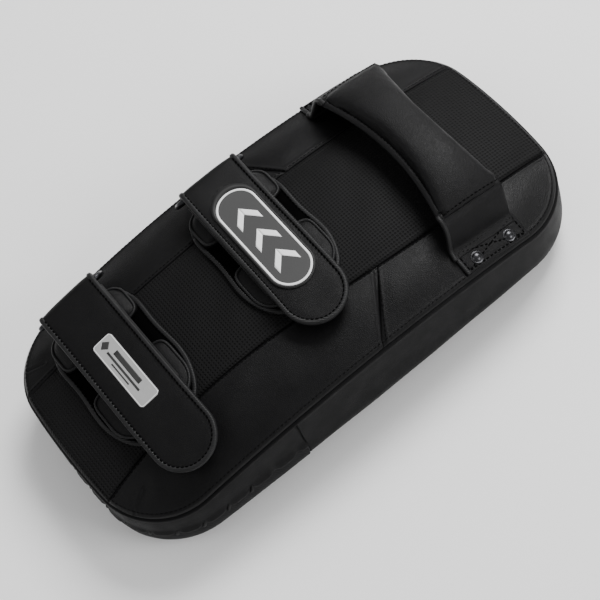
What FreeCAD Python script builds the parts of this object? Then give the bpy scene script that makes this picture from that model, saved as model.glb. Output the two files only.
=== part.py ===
"""Kick shield: a long foam pad with a sewn leather cover, held by one forearm and one hand.

The strike face lies down on the floor and the arm side is up. Two hook-and-loop straps cross the pad
towards its foot, each over a padded cuff, and each runs through a wire ring at the far side and folds
back on itself. A padded handle, sewn and riveted at both ends, crosses the pad towards its head.

Frame: origin on the floor under the middle of the pad, +X towards the head (the handle's end),
+Y towards the side that holds the strap rings, +Z up out of the arm side. Millimetres.
"""

import FreeCAD
import Part
import math
import os
from FreeCAD import Placement, Rotation, Vector

# Driving dimensions of the pad
LENGTH = 400.0
WIDTH = 204.0
EDGE_HEIGHT = 72.0        # of the long sides, at the middle of their length
CROWN_DROP = 27.0         # how much lower the arm side is at both ends
DOME_RISE = 14.0          # how much higher the arm side is along its middle than at its edges
DOME_HALF = 98.0
DOME_POWER = 2.6
SIDE_BOW = 4.0
END_BOW = 8.0
CORNER_R = 58.0
TOP_EDGE_R = 8.0
BOTTOM_EDGE_R = 24.0
SKIN = 1.6

# Panels and foam layers
PANEL_HALF = 52.0         # half width of the centre panel
TOP_SEAM_INSET = 3.5      # from the outline to the seam round the arm side
STRIKE_SEAM_Z = 6.0
CLOSING_SEAM_Z = 30.0     # the hand-sewn seam round the foot
GUSSET_JOINT_X = -65.0
SIDE_SEAM_INNER_X = 47.0
SIDE_SEAM_OUTER_X = 13.0
STRIKE_FOAM_TOP = 22.0
SHOCK_FOAM_TOP = 44.0
STITCH_FIRST_X = -90.0
STITCH_PITCH = 20.0
STITCH_PROUD = 1.2
STITCH_WIDTH = 2.4
STITCH_HEIGHT = 7.0

# Cuffs and straps, in a frame that stands on the crown under each strap
CUFFS = {
    # name: x of the strap, shift of the base along x, y of the base's near end, y of the tongue's end
    "upper": {"x": 0.0, "base_shift": 0.5, "base_near": -46.0, "tongue": -71.0},
    "lower": {"x": -128.0, "base_shift": -1.0, "base_near": -49.0, "tongue": -88.0},
}
BASE_HALF = 36.0
BASE_FAR = 75.0
BASE_END_R = 26.0
BASE_THICK = 3.0
BINDING = 2.6
BINDING_TOP = 4.0
BLOCK_HALF = 29.0
BLOCK_FAR = (36.0, 69.0)
BLOCK_NEAR_TOP = 7.0
BLOCK_END_GAP = 7.0
BLOCK_R = 3.0
BAR_Y = 73.0
BAR_Z = 16.0
STRAP_SLOPE = 2.0         # degrees, down towards the near side
STRAP_HALF = 25.0
STRAP_THICK = 3.0
STRAP_CLOSED_Z = 0.5      # underside of the closed strap, above the bar's axis
STRAP_CLOSES_AT = -24.0   # from the bar's axis, where the strap lies down on its lower layer
TONGUE_STARTS = -108.0
TONGUE_SLOPE = 9.0        # degrees, below the rest of the strap
STRAP_BINDING = 2.4
WIRE_R = 2.0
RUNNING = 0.3
LOWER_THICK = 2.7
PATCH_THICK = 1.2
KEEPER_Y = 87.0
KEEPER_Z = -5.0
KEEPER_HALF = 20.0
KEEPER_THICK = 2.0
RING_HALF = 29.0
BADGE_THICK = 1.6
BADGE = (35.0, -114.0, -14.0, 17.4)    # width, near end, far end, corner radius
LABEL_THICK = 0.8
LABEL = (17.0, -105.0, -43.0, 2.5)

# Handle, across the pad
GRIP_X = 120.0
TAB_SHIFT = -3.0          # of the tabs along x, from the grip
GRIP_HALF_SPAN = 70.0
GRIP_END_WIDTH = 53.0
GRIP_WAIST_WIDTH = 40.0
GRIP_THICK = 16.0
GRIP_RISE = 24.0          # middle of the grip above the crest
GRIP_SAGITTA = 8.0
GRIP_SKIN = 1.8
GRIP_CLEAR = 0.3          # between the leaning grip and its fixed end straps
HANDLE_STRAP_THICK = 3.0
HANDLE_STRAP_HALF = 25.0
TAB_END_Y = 97.0
TAB_BEND_Y = 85.0
TAB_THICK = 2.4
TAB_HALF = 26.0
RIVET_SPACING = 28.0
RIVET_Y = 91.0
RIVET_HEAD_R = 4.2
RIVET_POST_R = 2.0
RIVET_DEPTH = 5.2         # through the tab and the cover to the washer's back
WASHER_R = 6.0
WASHER_THICK = 1.0

CROWN_R = ((LENGTH / 2) ** 2 + CROWN_DROP**2) / (2 * CROWN_DROP)
CROWN_Z = EDGE_HEIGHT - CROWN_R
TALL = 140.0
X_AXIS = Vector(1, 0, 0)
Y_AXIS = Vector(0, 1, 0)
Z_AXIS = Vector(0, 0, 1)


def bow_radius(half_chord, bow):
    """Radius of an arc that stands out by bow over a chord."""
    return (half_chord**2 + bow**2) / (2 * bow)


def slab(x0, x1, y0, y1, z0, z1):
    """An axis-aligned block between the given limits."""
    return Part.makeBox(x1 - x0, y1 - y0, z1 - z0, Vector(x0, y0, z0))


def plan_prism(inset, z0, z1):
    """The pad's outline in plan, moved in by inset, as an upright prism."""
    half_l = LENGTH / 2 - inset
    half_w = WIDTH / 2 - inset
    body = slab(-half_l, half_l, -half_w, half_w, z0, z1)
    side_r = bow_radius(LENGTH / 2, SIDE_BOW)
    end_r = bow_radius(WIDTH / 2, END_BOW)
    height = z1 - z0
    for sign in (-1, 1):
        side = Part.makeCylinder(side_r - inset, height, Vector(0, sign * (WIDTH / 2 - side_r), z0))
        end = Part.makeCylinder(end_r - inset, height, Vector(sign * (LENGTH / 2 - end_r), 0, z0))
        body = body.common(side).common(end)
    upright = [
        e for e in body.Edges
        if abs(e.BoundBox.ZLength - height) < 1e-6 and e.BoundBox.XLength < 1e-6 and e.BoundBox.YLength < 1e-6
    ]
    return body.makeFillet(CORNER_R - inset, upright)


def dome(y):
    """How far the arm side rises above its edge at y."""
    return DOME_RISE * (1 - (abs(y) / DOME_HALF) ** DOME_POWER)


def crown(offset):
    """Everything under the arm side, moved out by offset: a domed profile turned about a line along Y."""
    steps = [-112, -98, -84, -70, -52, -34, -16, 0, 16, 34, 52, 70, 84, 98, 112]
    points = [Vector(0, y, CROWN_Z + CROWN_R + dome(y) + offset) for y in steps]
    curve = Part.BSplineCurve()
    curve.interpolate(points)
    low, high = Vector(0, steps[0], CROWN_Z), Vector(0, steps[-1], CROWN_Z)
    sides = [Part.makeLine(points[-1], high), Part.makeLine(high, low), Part.makeLine(low, points[0])]
    face = Part.Face(Part.Wire([curve.toShape()] + sides))
    face = face.rotated(Vector(0, 0, CROWN_Z), Y_AXIS, 180)
    return face.revolve(Vector(0, 0, CROWN_Z), Y_AXIS, 360)


def surface_height(x, y=0.0):
    """Height of the arm side."""
    return CROWN_Z + math.sqrt((CROWN_R + dome(y)) ** 2 - x**2)


def surface_normal(x, y):
    """The way out of the arm side."""
    radius = CROWN_R + dome(y)
    sign = 1 if y > 0 else -1
    slope = DOME_RISE * DOME_POWER / DOME_HALF * (abs(y) / DOME_HALF) ** (DOME_POWER - 1)
    normal = Vector(x / radius, sign * slope, math.sqrt(radius**2 - x**2) / radius)
    return normal.normalize()


def cushion(inset):
    """The whole pad's rounded form, moved in by inset all over."""
    body = plan_prism(inset, inset, TALL).common(crown(-inset))
    top = [e for e in body.Edges if e.BoundBox.ZMin > EDGE_HEIGHT - CROWN_DROP - 14]
    body = body.makeFillet(TOP_EDGE_R - inset, top)
    bottom = [e for e in body.Edges if e.BoundBox.ZMax < inset + 1e-4]
    return body.makeFillet(BOTTOM_EDGE_R - inset, bottom)


def at_cuff(x):
    """The frame of a cuff: on the crown at x, with its z along the surface's normal."""
    tilt = math.degrees(math.asin(x / (CROWN_R + DOME_RISE)))
    return Placement(Vector(x, 0, surface_height(x)), Rotation(Y_AXIS, tilt))


def at_bar(x):
    """The frame of a strap: at the ring bar's axis, with its y along the sloping strap."""
    return at_cuff(x) * Placement(Vector(0, BAR_Y, BAR_Z), Rotation(X_AXIS, STRAP_SLOPE))


def placed(shape, frame):
    """A copy of shape, carried by frame."""
    moved = shape.copy()
    moved.Placement = frame.multiply(moved.Placement)
    return moved


def rounded_plate(x0, x1, y0, y1, z0, z1, near_r, far_r):
    """A plate with its near corners (low y) and far corners rounded."""
    plate = slab(x0, x1, y0, y1, z0, z1)
    for radius, y in ((near_r, y0), (far_r, y1)):
        if radius <= 0:
            continue
        corner = [
            e for e in plate.Edges
            if abs(e.BoundBox.ZLength - (z1 - z0)) < 1e-6
            and abs(e.BoundBox.YMin - y) < 1e-6
            and abs(e.BoundBox.YMax - y) < 1e-6
            and e.BoundBox.XLength < 1e-6
        ]
        plate = plate.makeFillet(radius, corner)
    return plate


def save(name, shape):
    """Writes one node."""
    if len(shape.Solids) == 1:
        merged = shape.removeSplitter()
        if len(merged.Solids) == 1 and merged.isValid():
            shape = merged
    if not shape.Solids:
        raise ValueError(name + " is empty")
    for solid in shape.Solids:
        if not solid.isValid() or solid.Volume <= 0:
            raise ValueError(name + " has a bad solid")
    shape.exportStep("parts/" + name + ".step")
    print(name, len(shape.Solids), round(shape.Volume / 1000, 2), "cm3")


def without(shape, cutters):
    """The shape with each cutter taken away."""
    for cutter in cutters:
        shape = shape.cut(cutter)
    return shape


def cover_and_foam(outer, inner, fasteners):
    """The sewn cover's panels and the three foam layers inside it, with the fasteners' holes."""
    skin = outer.cut(inner)
    back_zone = plan_prism(TOP_SEAM_INSET, CLOSING_SEAM_Z, TALL)
    back = without(skin.common(back_zone), [post for post, pocket in fasteners])
    wall = skin.cut(back_zone)
    far = LENGTH
    foot_zone = slab(-far, GUSSET_JOINT_X, -far, far, CLOSING_SEAM_Z, TALL)
    main_zone = slab(GUSSET_JOINT_X, far, -far, far, STRIKE_SEAM_Z, TALL)
    save("gusset_foot", wall.common(foot_zone))
    save("gusset_main", wall.common(main_zone))
    save("strike_cover", wall.cut(foot_zone).cut(main_zone))
    save("back_centre_panel", back.common(slab(-far, far, -PANEL_HALF, PANEL_HALF, 0, TALL)))
    for side, sign in (("near", -1), ("far", 1)):
        low, high = sorted((sign * PANEL_HALF, sign * WIDTH))
        strip = back.common(slab(-far, far, low, high, 0, TALL))
        slope = (SIDE_SEAM_OUTER_X - SIDE_SEAM_INNER_X) / (WIDTH / 2 - PANEL_HALF)
        outer_x = SIDE_SEAM_INNER_X + slope * (WIDTH - PANEL_HALF)
        corners = [
            Vector(SIDE_SEAM_INNER_X, sign * PANEL_HALF, 0),
            Vector(outer_x, sign * WIDTH, 0),
            Vector(far, sign * WIDTH, 0),
            Vector(far, sign * PANEL_HALF, 0),
        ]
        head_zone = Part.Face(Part.makePolygon(corners + corners[:1])).extrude(Vector(0, 0, TALL))
        save("back_" + side + "_panel_head", strip.common(head_zone))
        save("back_" + side + "_panel_foot", strip.cut(head_zone))
    layers = {"strike": (0, STRIKE_FOAM_TOP), "shock": (STRIKE_FOAM_TOP, SHOCK_FOAM_TOP), "back": (SHOCK_FOAM_TOP, TALL)}
    for name, (z0, z1) in layers.items():
        layer = cushion(SKIN).common(slab(-far, far, -far, far, z0, z1))
        pockets = [pocket for post, pocket in fasteners if z0 < pocket.BoundBox.ZMin < z1]
        save("foam_" + name + "_layer", without(layer, pockets))


def closing_stitches(outer):
    """The thick hand stitches that close the cover round the foot."""
    straight = (LENGTH / 2 - CORNER_R) + STITCH_FIRST_X
    arc = CORNER_R * math.pi / 2
    end_half = WIDTH / 2 - CORNER_R
    total = straight + arc + end_half
    count = int(total // STITCH_PITCH)
    bars = []
    for i in range(count):
        s = i * STITCH_PITCH
        if s < straight:
            point = Vector(STITCH_FIRST_X - s, -WIDTH / 2, 0)
            turn = 0.0
        elif s < straight + arc:
            angle = (s - straight) / CORNER_R
            centre = Vector(-LENGTH / 2 + CORNER_R, -WIDTH / 2 + CORNER_R, 0)
            point = centre + Vector(-math.sin(angle), -math.cos(angle), 0) * CORNER_R
            turn = -math.degrees(angle)
        else:
            point = Vector(-LENGTH / 2, -end_half + (s - straight - arc), 0)
            turn = -90.0
        bar = slab(-STITCH_WIDTH / 2, STITCH_WIDTH / 2, -12, 12, -STITCH_HEIGHT / 2, STITCH_HEIGHT / 2)
        bar = placed(bar, Placement(point + Vector(0, 0, CLOSING_SEAM_Z), Rotation(Z_AXIS, turn)))
        bars.append(bar)
        if point.y < -STITCH_PITCH / 2:
            bars.append(bar.mirror(Vector(0, 0, 0), Y_AXIS))
    shell = cushion(-STITCH_PROUD).cut(outer)
    save("closing_stitches", Part.Compound([bar.common(shell).Solids[0] for bar in bars]))


def cuff(name, facts):
    """A cuff's padded base, its two blocks, the ring's keeper and the fixed lower layer of the strap."""
    frame = at_cuff(facts["x"])
    bar_frame = at_bar(facts["x"])
    shift = facts["base_shift"]
    x0, x1 = shift - BASE_HALF, shift + BASE_HALF
    near = facts["base_near"]
    pad = crown(0)
    base_top = crown(BASE_THICK)
    outline = rounded_plate(x0, x1, near, BASE_FAR, -20, 10, BASE_END_R, BASE_END_R)
    inner = rounded_plate(
        x0 + BINDING, x1 - BINDING, near + BINDING, BASE_FAR - BINDING, -20, 10,
        BASE_END_R - BINDING, BASE_END_R - BINDING,
    )
    rim = placed(outline.cut(inner), frame).common(crown(BINDING_TOP)).cut(pad)
    save(name + "_cuff_binding", rim)
    save(name + "_cuff_base", placed(inner, frame).common(base_top).cut(pad))

    to_bar = Placement(Vector(0, BAR_Y, BAR_Z), Rotation(X_AXIS, STRAP_SLOPE))
    above_strap = placed(slab(-200, 200, -400, 100, -WIRE_R - RUNNING - LOWER_THICK, 100), to_bar)
    block_spans = {"far": BLOCK_FAR, "near": (near + BLOCK_END_GAP, BLOCK_NEAR_TOP)}
    for side, (y0, y1) in block_spans.items():
        near_r, far_r = (4.0, 22.0) if side == "far" else (22.0, 4.0)
        block = rounded_plate(shift - BLOCK_HALF, shift + BLOCK_HALF, y0, y1, -15, 40, near_r, far_r)
        block = block.cut(above_strap)
        top = [f for f in block.Faces if f.CenterOfMass.z > 4 and f.BoundBox.ZLength < 6][0]
        block = placed(block.makeFillet(BLOCK_R, top.Edges), frame)
        save(name + "_cuff_block_" + side, block.cut(base_top))

    tail = placed(slab(-KEEPER_HALF, KEEPER_HALF, BASE_FAR + 0.5, KEEPER_Y, -20, 5), frame)
    tail = tail.common(crown(KEEPER_THICK))
    loop = Part.makeCylinder(WIRE_R + RUNNING + KEEPER_THICK, 2 * KEEPER_HALF, Vector(-KEEPER_HALF, KEEPER_Y, KEEPER_Z), X_AXIS)
    hole = Part.makeCylinder(WIRE_R + RUNNING, 2 * KEEPER_HALF, Vector(-KEEPER_HALF, KEEPER_Y, KEEPER_Z), X_AXIS)
    keeper = tail.fuse(placed(loop, frame)).cut(placed(hole, frame))
    save(name + "_ring_keeper", keeper.cut(pad))

    top = -WIRE_R - RUNNING
    root_y = near + BLOCK_END_GAP + 3 - BAR_Y
    end_y = -(WIRE_R + RUNNING + STRAP_THICK + 0.4)
    layer = rounded_plate(-STRAP_HALF, STRAP_HALF, root_y, end_y, top - LOWER_THICK, top, 8.0, 0.0)
    save(name + "_strap_lower_layer", placed(layer, bar_frame))
    patch = rounded_plate(-STRAP_HALF + 5, STRAP_HALF - 5, root_y + 4, root_y + 64, top, top + PATCH_THICK, 6.0, 3.0)
    save(name + "_loop_patch", placed(patch, bar_frame))


def ring(name, facts):
    """The rectangular wire ring between the keeper and the strap's fold."""
    frame = at_cuff(facts["x"])
    corners = [
        Vector(-RING_HALF, BAR_Y, BAR_Z),
        Vector(RING_HALF, BAR_Y, BAR_Z),
        Vector(RING_HALF, KEEPER_Y, KEEPER_Z),
        Vector(-RING_HALF, KEEPER_Y, KEEPER_Z),
    ]
    solid = None
    for start, end in zip(corners, corners[1:] + corners[:1]):
        run = end - start
        bar = Part.makeCylinder(WIRE_R, run.Length, start, run)
        ball = Part.makeSphere(WIRE_R, start)
        solid = bar.fuse(ball) if solid is None else solid.fuse(bar).fuse(ball)
    save(name + "_ring", placed(solid, frame))


def strap_sheet(facts, lift, thick, x_half):
    """A sheet that follows the closed strap's underside, lifted by lift, in the bar's frame."""
    tongue_y = facts["tongue"] - BAR_Y - 1
    drop = (TONGUE_STARTS - tongue_y) * math.tan(math.radians(TONGUE_SLOPE))
    open_z = WIRE_R + RUNNING
    under = [
        (0, open_z), (-6, open_z - 0.1), (-15, (open_z + STRAP_CLOSED_Z) / 2),
        (STRAP_CLOSES_AT, STRAP_CLOSED_Z + 0.05), (-45, STRAP_CLOSED_Z), (-75, STRAP_CLOSED_Z),
        (TONGUE_STARTS + 8, STRAP_CLOSED_Z), (TONGUE_STARTS - 8, STRAP_CLOSED_Z - 0.8),
        (tongue_y, STRAP_CLOSED_Z - drop),
    ]
    curves = []
    for extra in (lift, lift + thick):
        curve = Part.BSplineCurve()
        curve.interpolate([Vector(-x_half, y, z + extra) for y, z in under])
        curves.append(curve.toShape())
    ends = [
        Part.makeLine(Vector(-x_half, y, z + lift), Vector(-x_half, y, z + lift + thick))
        for y, z in (under[0], under[-1])
    ]
    face = Part.Face(Part.Wire([curves[0], ends[1], curves[1], ends[0]]))
    return face.extrude(Vector(2 * x_half, 0, 0))


def fold(x0, x1):
    """The strap's half turn round the bar, between x0 and x1."""
    low = WIRE_R + RUNNING
    solid = Part.makeCylinder(low + STRAP_THICK, x1 - x0, Vector(x0, 0, 0), X_AXIS)
    solid = solid.cut(Part.makeCylinder(low, x1 - x0, Vector(x0, 0, 0), X_AXIS))
    return solid.common(slab(x0, x1, 0, 10, -20, 20))


def strap(name, facts):
    """The strap's upper layer, which peels open, with its fold, binding, hook patch and badge."""
    frame = at_bar(facts["x"])
    tongue_y = facts["tongue"] - BAR_Y
    inner_half = STRAP_HALF - STRAP_BINDING
    sheet = strap_sheet(facts, 0, STRAP_THICK, STRAP_HALF + 1)
    outline = rounded_plate(
        -STRAP_HALF, STRAP_HALF, tongue_y, 0, -30, 30, STRAP_HALF - 0.01, 0.0
    )
    inner = rounded_plate(
        -inner_half, inner_half, tongue_y + STRAP_BINDING, 0, -30, 30, inner_half - 0.01, 0.0
    )
    middle = sheet.common(inner).fuse(fold(-inner_half, inner_half))
    save(name + "_strap_upper_layer", placed(middle, frame))
    edges = sheet.common(outline.cut(inner))
    edges = edges.fuse(fold(-STRAP_HALF, -inner_half)).fuse(fold(inner_half, STRAP_HALF))
    save(name + "_strap_binding", placed(edges, frame))

    root_y = facts["base_near"] + BLOCK_END_GAP + 3 - BAR_Y
    hook = rounded_plate(
        -STRAP_HALF + 6, STRAP_HALF - 6, root_y + 7, root_y + 62, -30, 30, 6.0, 3.0
    )
    under = strap_sheet(facts, -PATCH_THICK, PATCH_THICK, STRAP_HALF)
    save(name + "_hook_patch", placed(under.common(hook), frame))
    node, plate, thick = {
        "upper": ("upper_badge", BADGE, BADGE_THICK),
        "lower": ("lower_label", LABEL, LABEL_THICK),
    }[name]
    width, near, far, corner = plate
    outline = rounded_plate(-width / 2, width / 2, near, far, -30, 30, corner, corner)
    top = strap_sheet(facts, STRAP_THICK, thick, STRAP_HALF)
    save(node, placed(top.common(outline), frame))


def grip_solid(inset):
    """The grip: a rounded section, narrower at the waist, lofted along a low arch."""
    radius = bow_radius(GRIP_HALF_SPAN, GRIP_SAGITTA)
    end_angle = math.asin(GRIP_HALF_SPAN / radius)
    axis_point = Vector(0, 0, GRIP_RISE - radius)
    wires = []
    count = 9
    for i in range(count):
        part = 2.0 * i / (count - 1) - 1.0
        half = (GRIP_WAIST_WIDTH + (GRIP_END_WIDTH - GRIP_WAIST_WIDTH) * part**2) / 2 - inset
        rise = GRIP_THICK / 2 - inset
        section = slab(-half, half, 0, 1, GRIP_RISE - rise, GRIP_RISE + rise)
        along = [e for e in section.Edges if e.BoundBox.YLength > 0.9]
        section = section.makeFillet(6.5 - inset, along)
        face = [f for f in section.Faces if abs(f.CenterOfMass.y) < 1e-6][0]
        wires.append(face.OuterWire.rotated(axis_point, X_AXIS, -math.degrees(part * end_angle * 1.05)))
    solid = Part.makeLoft(wires, True, False)
    trim = GRIP_HALF_SPAN - 1
    return solid.common(slab(-60, 60, -trim, trim, -50, 100))


def ribbon(points, thick):
    """A face in the YZ plane that follows the points, thick across."""
    runs = [(b - a).normalize() for a, b in zip(points, points[1:])]
    sides = [Vector(0, -run.z, run.y) for run in runs]
    shifts = []
    for i in range(len(points)):
        before, after = sides[max(i - 1, 0)], sides[min(i, len(sides) - 1)]
        shifts.append((before + after) * (thick / 2 / (1 + before.dot(after))))
    outline = [p + d for p, d in zip(points, shifts)] + [p - d for p, d in zip(points, shifts)][::-1]
    return Part.Face(Part.makePolygon(outline + outline[:1]))


def handle():
    """The padded grip, its end straps, the sewn tabs and the rivets."""
    frame = at_cuff(GRIP_X)
    outer = grip_solid(0)
    inner = grip_solid(GRIP_SKIN)
    save("handle_sleeve", placed(outer.cut(inner), frame))
    save("handle_core", placed(inner, frame))
    pad = crown(0)
    tab_top = crown(TAB_THICK)
    grip_end_z = GRIP_RISE - GRIP_SAGITTA
    bend_z = dome(TAB_BEND_Y) - DOME_RISE
    fasteners = []
    for side, sign in (("near", -1), ("far", 1)):
        start = sign * (GRIP_HALF_SPAN - 1 + GRIP_CLEAR)
        points = [
            Vector(0, start, grip_end_z),
            Vector(0, start + sign * 4.5, grip_end_z - 1.0),
            Vector(0, sign * (TAB_BEND_Y - 1.0), bend_z + 6.0),
            Vector(0, sign * TAB_BEND_Y, bend_z + TAB_THICK - 1.0),
        ]
        band = ribbon(points, HANDLE_STRAP_THICK).extrude(Vector(2 * HANDLE_STRAP_HALF, 0, 0))
        band.translate(Vector(TAB_SHIFT / 2 - HANDLE_STRAP_HALF, 0, 0))
        keep_low, keep_high = sorted((start, sign * 200))
        band = placed(band.common(slab(-60, 60, keep_low, keep_high, -50, 100)), frame).cut(tab_top)
        save("handle_strap_" + side, band)
        low, high = sorted((sign * (TAB_BEND_Y - 4), sign * TAB_END_Y))
        tab = slab(TAB_SHIFT - TAB_HALF, TAB_SHIFT + TAB_HALF, low, high, -25, 10)
        tab = placed(tab, frame).common(tab_top).cut(pad)
        rivets = []
        washers = []
        for step in (-1, 1):
            x = GRIP_X + TAB_SHIFT + step * RIVET_SPACING / 2
            y = sign * RIVET_Y
            axis = surface_normal(x, y)
            base = Vector(x, y, surface_height(x, y)) + axis * TAB_THICK
            post = Part.makeCylinder(RIVET_POST_R, RIVET_DEPTH, base - axis * RIVET_DEPTH, axis)
            dome_r = (RIVET_HEAD_R**2 + 2.0**2) / 4.0
            head = Part.makeSphere(dome_r, base + axis * (2.0 - dome_r))
            head = head.common(Part.makeCylinder(RIVET_HEAD_R + 1, 4, base, axis))
            rivet = head.fuse(post).removeSplitter().Solids[0]
            washer = Part.makeCylinder(WASHER_R, WASHER_THICK, base - axis * RIVET_DEPTH, axis)
            rivets.append(rivet)
            washers.append(washer.cut(post))
            tab = tab.cut(rivet)
            pocket = Part.makeCylinder(WASHER_R, RIVET_DEPTH + 4, base - axis * RIVET_DEPTH, axis)
            fasteners.append((post, pocket))
        save("handle_tab_" + side, tab)
        save("rivets_" + side, Part.Compound(rivets))
        save("rivet_washers_" + side, Part.Compound([w.Solids[0] for w in washers]))
    return fasteners


def main():
    os.makedirs("parts", exist_ok=True)
    outer = cushion(0)
    inner = cushion(SKIN)
    print("crown radius", round(CROWN_R, 1), "pad volume", round(outer.Volume / 1e6, 3), "litres")
    cover_and_foam(outer, inner, handle())
    closing_stitches(outer)
    for name, facts in CUFFS.items():
        cuff(name, facts)
        ring(name, facts)
        strap(name, facts)


main()
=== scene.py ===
"""Kick shield, visual model. Millimetres in the code, metres in the meshes, in the CAD model's frame."""

import math

import bmesh
import bpy
import numpy as np
from mathutils import Matrix, Vector


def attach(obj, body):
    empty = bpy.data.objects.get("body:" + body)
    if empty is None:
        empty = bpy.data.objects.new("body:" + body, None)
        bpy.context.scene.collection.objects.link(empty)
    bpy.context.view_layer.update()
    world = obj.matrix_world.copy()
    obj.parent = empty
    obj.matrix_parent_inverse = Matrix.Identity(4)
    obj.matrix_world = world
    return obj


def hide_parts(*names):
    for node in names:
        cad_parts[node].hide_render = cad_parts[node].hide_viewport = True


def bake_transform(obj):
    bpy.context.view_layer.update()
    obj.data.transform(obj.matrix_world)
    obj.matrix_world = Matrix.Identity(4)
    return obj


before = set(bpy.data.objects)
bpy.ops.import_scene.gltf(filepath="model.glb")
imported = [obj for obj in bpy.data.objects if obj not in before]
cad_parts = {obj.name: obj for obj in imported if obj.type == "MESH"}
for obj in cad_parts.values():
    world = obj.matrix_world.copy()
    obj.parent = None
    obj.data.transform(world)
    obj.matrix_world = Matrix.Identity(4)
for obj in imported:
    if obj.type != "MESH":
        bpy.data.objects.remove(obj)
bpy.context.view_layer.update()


MM = 0.001

# ---------------------------------------------------------------- the pad's form, as in the CAD model
LENGTH, WIDTH, EDGE, DROP = 400.0, 204.0, 72.0, 27.0
RISE, DOME_HALF, DOME_POWER = 14.0, 98.0, 2.6
CORNER, TOP_R, BOTTOM_R = 58.0, 4.5, 24.0
SEAM_INSET, TOPSTITCH_OFF, PUFF = 1.8, 1.9, 1.3
PANEL_T = 1.2
# The slanting seam between a side panel's halves, from the centre panel's edge to the outline
SIDE_SEAM_X, SIDE_SEAM_Y, SIDE_SEAM_OUT_X = 47.0, 52.0, 13.0
SIDE_SEAM_RUN, SIDE_SEAM_LENGTH = (34, 50), 60.5
DART = (-171, 65), (-187, 73)
CROWN_R = ((LENGTH / 2) ** 2 + DROP**2) / (2 * DROP)
CROWN_Z = EDGE - CROWN_R
CLOSING_Z, STRIKE_Z, JOINT_X = 30.0, 6.0, -65.0
CUFFS = {
    "upper": dict(x=0.0, shift=0.5, near=-46.0, tongue=-71.0),
    "lower": dict(x=-128.0, shift=-1.0, near=-49.0, tongue=-88.0),
}
BASE_FAR, BASE_HALF, BLOCK_HALF = 75.0, 36.0, 34.6
BAR_Y, BAR_Z, SLOPE = 73.0, 16.0, math.radians(2.0)
STRAP_HALF, STRAP_T, CLOSED_Z, FOLD_R = 25.0, 3.0, 0.5, 3.8
SHEET_HALF = STRAP_HALF - 0.6       # inside the binding
TONGUE_STARTS, TONGUE_SLOPE = -108.0, math.radians(9.0)
KEEPER_Y, KEEPER_Z, KEEPER_R, KEEPER_HALF = 87.0, -5.0, 3.3, 19.5
WIRE, RING_HALF, RING_CORNER = 2.0, 28.0, 4.5
GRIP_X, TAB_SHIFT, TAB_HALF, RIVET_STEP, RIVET_Y = 120.0, -3.0, 26.0, 14.0, 91.0


def unit(vectors):
    """The vectors of the last axis, at length 1."""
    return vectors / np.maximum(np.linalg.norm(vectors, axis=-1, keepdims=True), 1e-9)


def arc_lengths(curve):
    """How far along the curve each of its points is."""
    return np.concatenate([[0], np.cumsum(np.linalg.norm(np.diff(curve, axis=0), axis=1))])


def full_turn(count):
    """Evenly spaced angles round a circle."""
    return np.linspace(0, 2 * math.pi, count, endpoint=False)


def squarish(v, power):
    """Bends a sine or cosine to draw a superellipse; a power of 2 leaves an ellipse."""
    return np.sign(v) * np.abs(v) ** (2 / power)


def notch(gap, width):
    """1 at no gap, falling to 0 over about the width."""
    return np.exp(-((gap / width) ** 2))


def fall(y):
    """How much lower the arm side is at y than along its crest."""
    return RISE * (np.abs(y) / DOME_HALF) ** DOME_POWER


def dome(y):
    return RISE * (1 - (np.abs(y) / DOME_HALF) ** DOME_POWER)


def top(x, y):
    """Height of the arm side."""
    return CROWN_Z + np.sqrt((CROWN_R + dome(y)) ** 2 - np.square(x))


def top_normal(x, y):
    r = CROWN_R + dome(y)
    slope = RISE * DOME_POWER / DOME_HALF * (np.abs(y) / DOME_HALF) ** (DOME_POWER - 1)
    return unit(np.stack([x / r, np.sign(y) * slope, np.sqrt(r * r - np.square(x)) / r], -1))


def bow_radius(half, bow):
    return (half * half + bow * bow) / (2 * bow)


SIDE_R, END_R = bow_radius(LENGTH / 2, 4.0), bow_radius(WIDTH / 2, 8.0)


def corner_centre():
    """Where the corner's circle is tangent to both bowed sides."""
    a, b = WIDTH / 2 - SIDE_R, LENGTH / 2 - END_R
    x, y = LENGTH / 2 - CORNER - 3, WIDTH / 2 - CORNER - 3
    for _ in range(30):
        y = a + math.sqrt((SIDE_R - CORNER) ** 2 - x * x)
        x = b + math.sqrt((END_R - CORNER) ** 2 - y * y)
    return x, y


CORNER_X, CORNER_Y = corner_centre()
PHI_SIDE = math.atan2(CORNER_Y - (WIDTH / 2 - SIDE_R), CORNER_X)
PHI_END = math.atan2(CORNER_Y, CORNER_X - (LENGTH / 2 - END_R))


def outward(phi):
    """Unit vectors in plan at the angles phi."""
    return np.stack([np.cos(phi), np.sin(phi)], -1)


def outline(phi, inset=0.0):
    """Points of the plan outline whose outward normal stands at phi."""
    phi = np.asarray(phi, float)
    c, s = np.abs(np.cos(phi)), np.abs(np.sin(phi))
    a = np.arctan2(s, c)
    side, end = a > PHI_SIDE, a < PHI_END
    cx = np.where(side, 0.0, np.where(end, LENGTH / 2 - END_R, CORNER_X))
    cy = np.where(side, WIDTH / 2 - SIDE_R, np.where(end, 0.0, CORNER_Y))
    r = np.where(side, SIDE_R, np.where(end, END_R, CORNER)) - inset
    return np.stack([np.sign(np.cos(phi)) * (cx + r * c), np.sign(np.sin(phi)) * (cy + r * s)], -1)


_phi = np.concatenate([np.linspace(0, PHI_END, 60), np.linspace(PHI_END, PHI_SIDE, 90)[1:],
                       np.linspace(PHI_SIDE, math.pi / 2, 120)[1:]])
_phi = np.concatenate([_phi, math.pi - _phi[::-1][1:]])
LOOP_PHI = np.concatenate([_phi, _phi[1:] + math.pi])
LOOP = outline(LOOP_PHI)
LOOP_S = arc_lengths(LOOP)
PERIMETER = LOOP_S[-1]


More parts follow.
